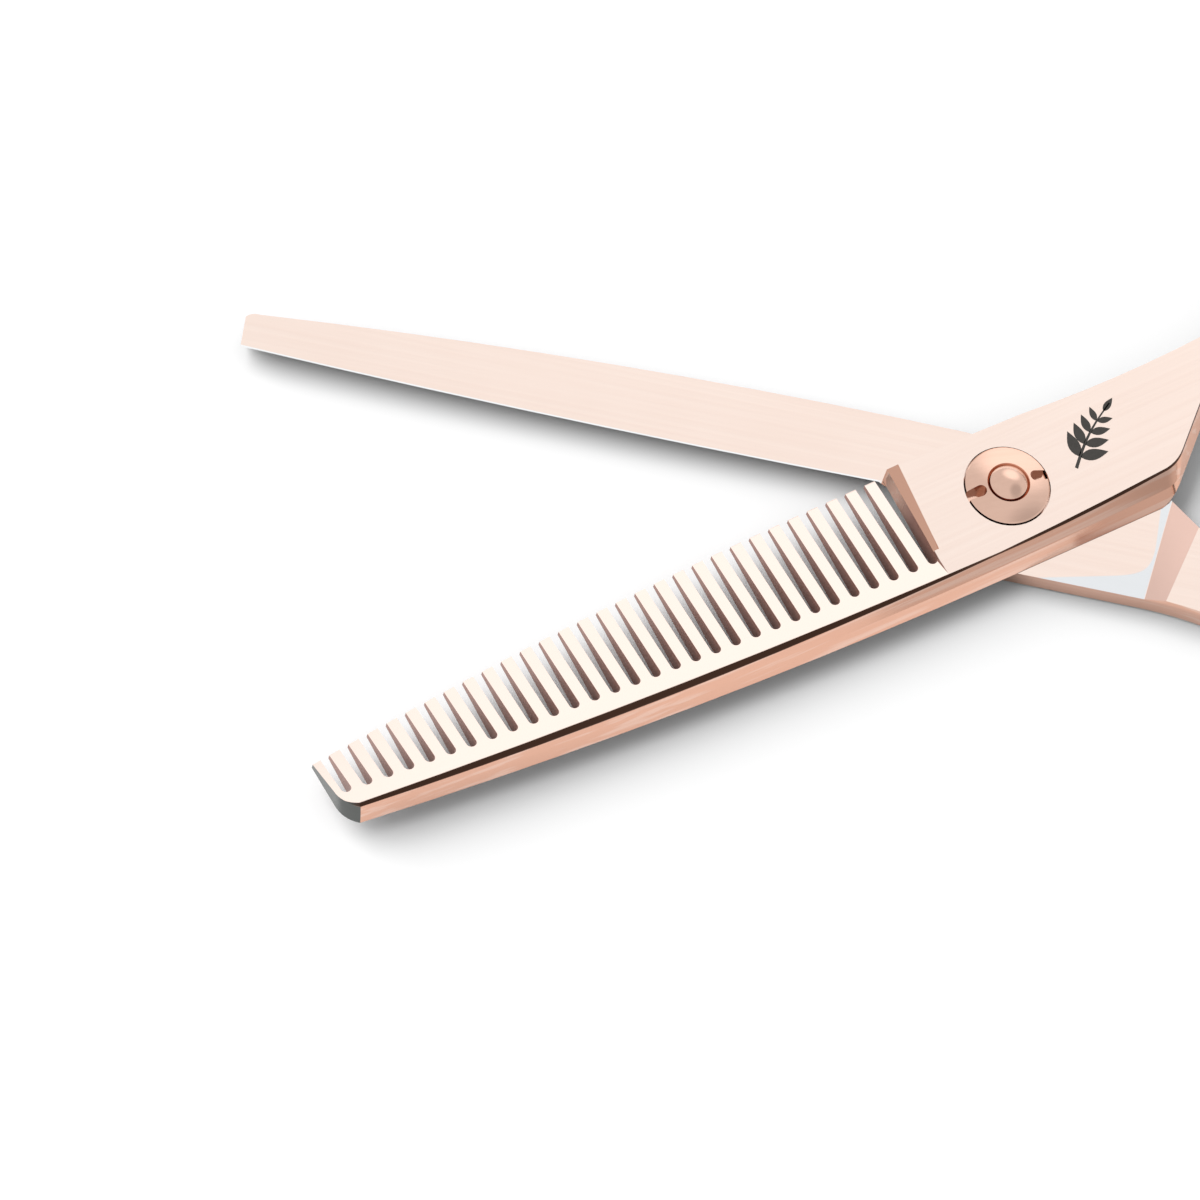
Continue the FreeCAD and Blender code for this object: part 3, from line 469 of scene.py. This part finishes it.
def sprig_outlines():
    outlines = [stem_outline()]
    for index, share in enumerate(LEAF_PLACES):
        length = LEAF_LENGTH - LEAF_SHORTENING * index
        x, y = stem_point(share)
        for side in (1, -1):
            base = (x, y + side * LEAF_OFFSET)
            outlines.append(leaf_outline(base, side * LEAF_ANGLE, length, length * LEAF_WIDTH))
    outlines.append(leaf_outline(stem_point(END_LEAF_PLACE), END_LEAF_ANGLE, *END_LEAF_SIZE))
    return outlines


def make_sprig():
    """A leafy sprig engraved in the comb half's flat face: a mark of no maker."""
    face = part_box("comb_blade")[1][2]
    turn = Matrix.Rotation(HALF_OPENING, 2)
    tilt = Matrix.Rotation(SPRIG_TILT, 2)
    vertices = []
    faces = []
    for points in sprig_outlines():
        first = len(vertices)
        count = len(points)
        for height in (face + SPRIG_RISE * MM, face - SPRIG_DEPTH * MM):
            for point in points:
                place = turn @ (tilt @ Vector(point) + Vector(SPRIG_CENTRE))
                vertices.append((place.x * MM, place.y * MM, height))
        upper = [first + index for index in range(count)]
        lower = [first + count + index for index in range(count)]
        faces.append(upper[::-1])
        faces.append(lower)
        for index in range(count):
            after = (index + 1) % count
            faces.append([upper[index], upper[after], lower[after], lower[index]])
    mesh = bpy.data.meshes.new("sprig")
    mesh.from_pydata(vertices, [], faces)
    sprig = bpy.data.objects.new("engraved_sprig", mesh)
    bpy.context.scene.collection.objects.link(sprig)
    mesh.materials.append(make_plain_surface("engraving", ENGRAVED, 0.3, 0.6))
    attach(sprig, "comb_half")


make_sprig()


# ---------------------------------------------------------------- floor and light

FLOOR_SIZE = 6.0
FLOOR_SHADES = ((0.90, 0.90, 0.90, 1.0), (0.92, 0.92, 0.92, 1.0))
# The world's strength, by who looks: the camera, a diffuse bounce, or a reflection.
BACKDROP = 0.98
AMBIENT = 0.50
REFLECTED = 0.75
SOFTBOX = 0.49
SOFTBOX_WAY = (0.40, 0.72, 0.57)
DIMMING = 0.3
DIM_WAY = (0.55, -0.45, 0.70)
# Both fade in between these cosines of the angle from their middles.
FADE = (0.80, 0.98)
KEY_ENERGY = 120.0
KEY_SIZE = 3.0
KEY_DISTANCE = 3.0
KEY_WAY = (-0.68, 0.27, 0.68)


def make_floor():
    bpy.ops.mesh.primitive_plane_add(size=FLOOR_SIZE, location=(0.0, 0.0, 0.0))
    floor = bpy.context.object
    floor.name = "floor"
    surface = Surface("floor_paper")
    grain = noise(surface.tree, surface.point, 0.05, 2.0)
    surface.set("Base Color", mix_colour(surface.tree, grain, *FLOOR_SHADES))
    surface.set("Roughness", 0.9)
    surface.set("Specular IOR Level", 0.1)
    floor.data.materials.append(surface.material)


def make_world():
    """Even light for the floor, and for the metal a softbox behind and a dimmer side in front."""
    world = bpy.data.worlds.new("studio")
    bpy.context.scene.world = world
    world.use_nodes = True
    tree = world.node_tree
    background = tree.nodes["Background"]
    way = tree.nodes.new("ShaderNodeTexCoord").outputs["Generated"]
    softbox = dot(tree, way, Vector(SOFTBOX_WAY).normalized()).step(*FADE)
    dim = dot(tree, way, Vector(DIM_WAY).normalized()).step(*FADE)
    reflected = (softbox * SOFTBOX + REFLECTED) * (dim * -DIMMING + 1.0)
    rays = tree.nodes.new("ShaderNodeLightPath").outputs
    seen = Field(tree, rays["Is Camera Ray"])
    glossy = Field(tree, rays["Is Glossy Ray"])
    strength = seen * BACKDROP + glossy * reflected + (seen + glossy).inverse() * AMBIENT
    plug(tree, strength, background.inputs["Strength"])
    background.inputs["Color"].default_value = (1.0, 1.0, 1.0, 1.0)


def make_key_light():
    data = bpy.data.lights.new("key", "AREA")
    data.size = KEY_SIZE
    data.energy = KEY_ENERGY
    key = bpy.data.objects.new("key", data)
    bpy.context.scene.collection.objects.link(key)
    out = Vector(KEY_WAY).normalized()
    turn = out.to_track_quat("Z", "Y").to_matrix().to_4x4()
    key.matrix_world = Matrix.Translation(out * KEY_DISTANCE) @ turn
    key.visible_glossy = False


make_floor()
make_world()
make_key_light()
bpy.context.scene.view_settings.view_transform = "Standard"
bpy.context.scene.cycles.caustics_reflective = False
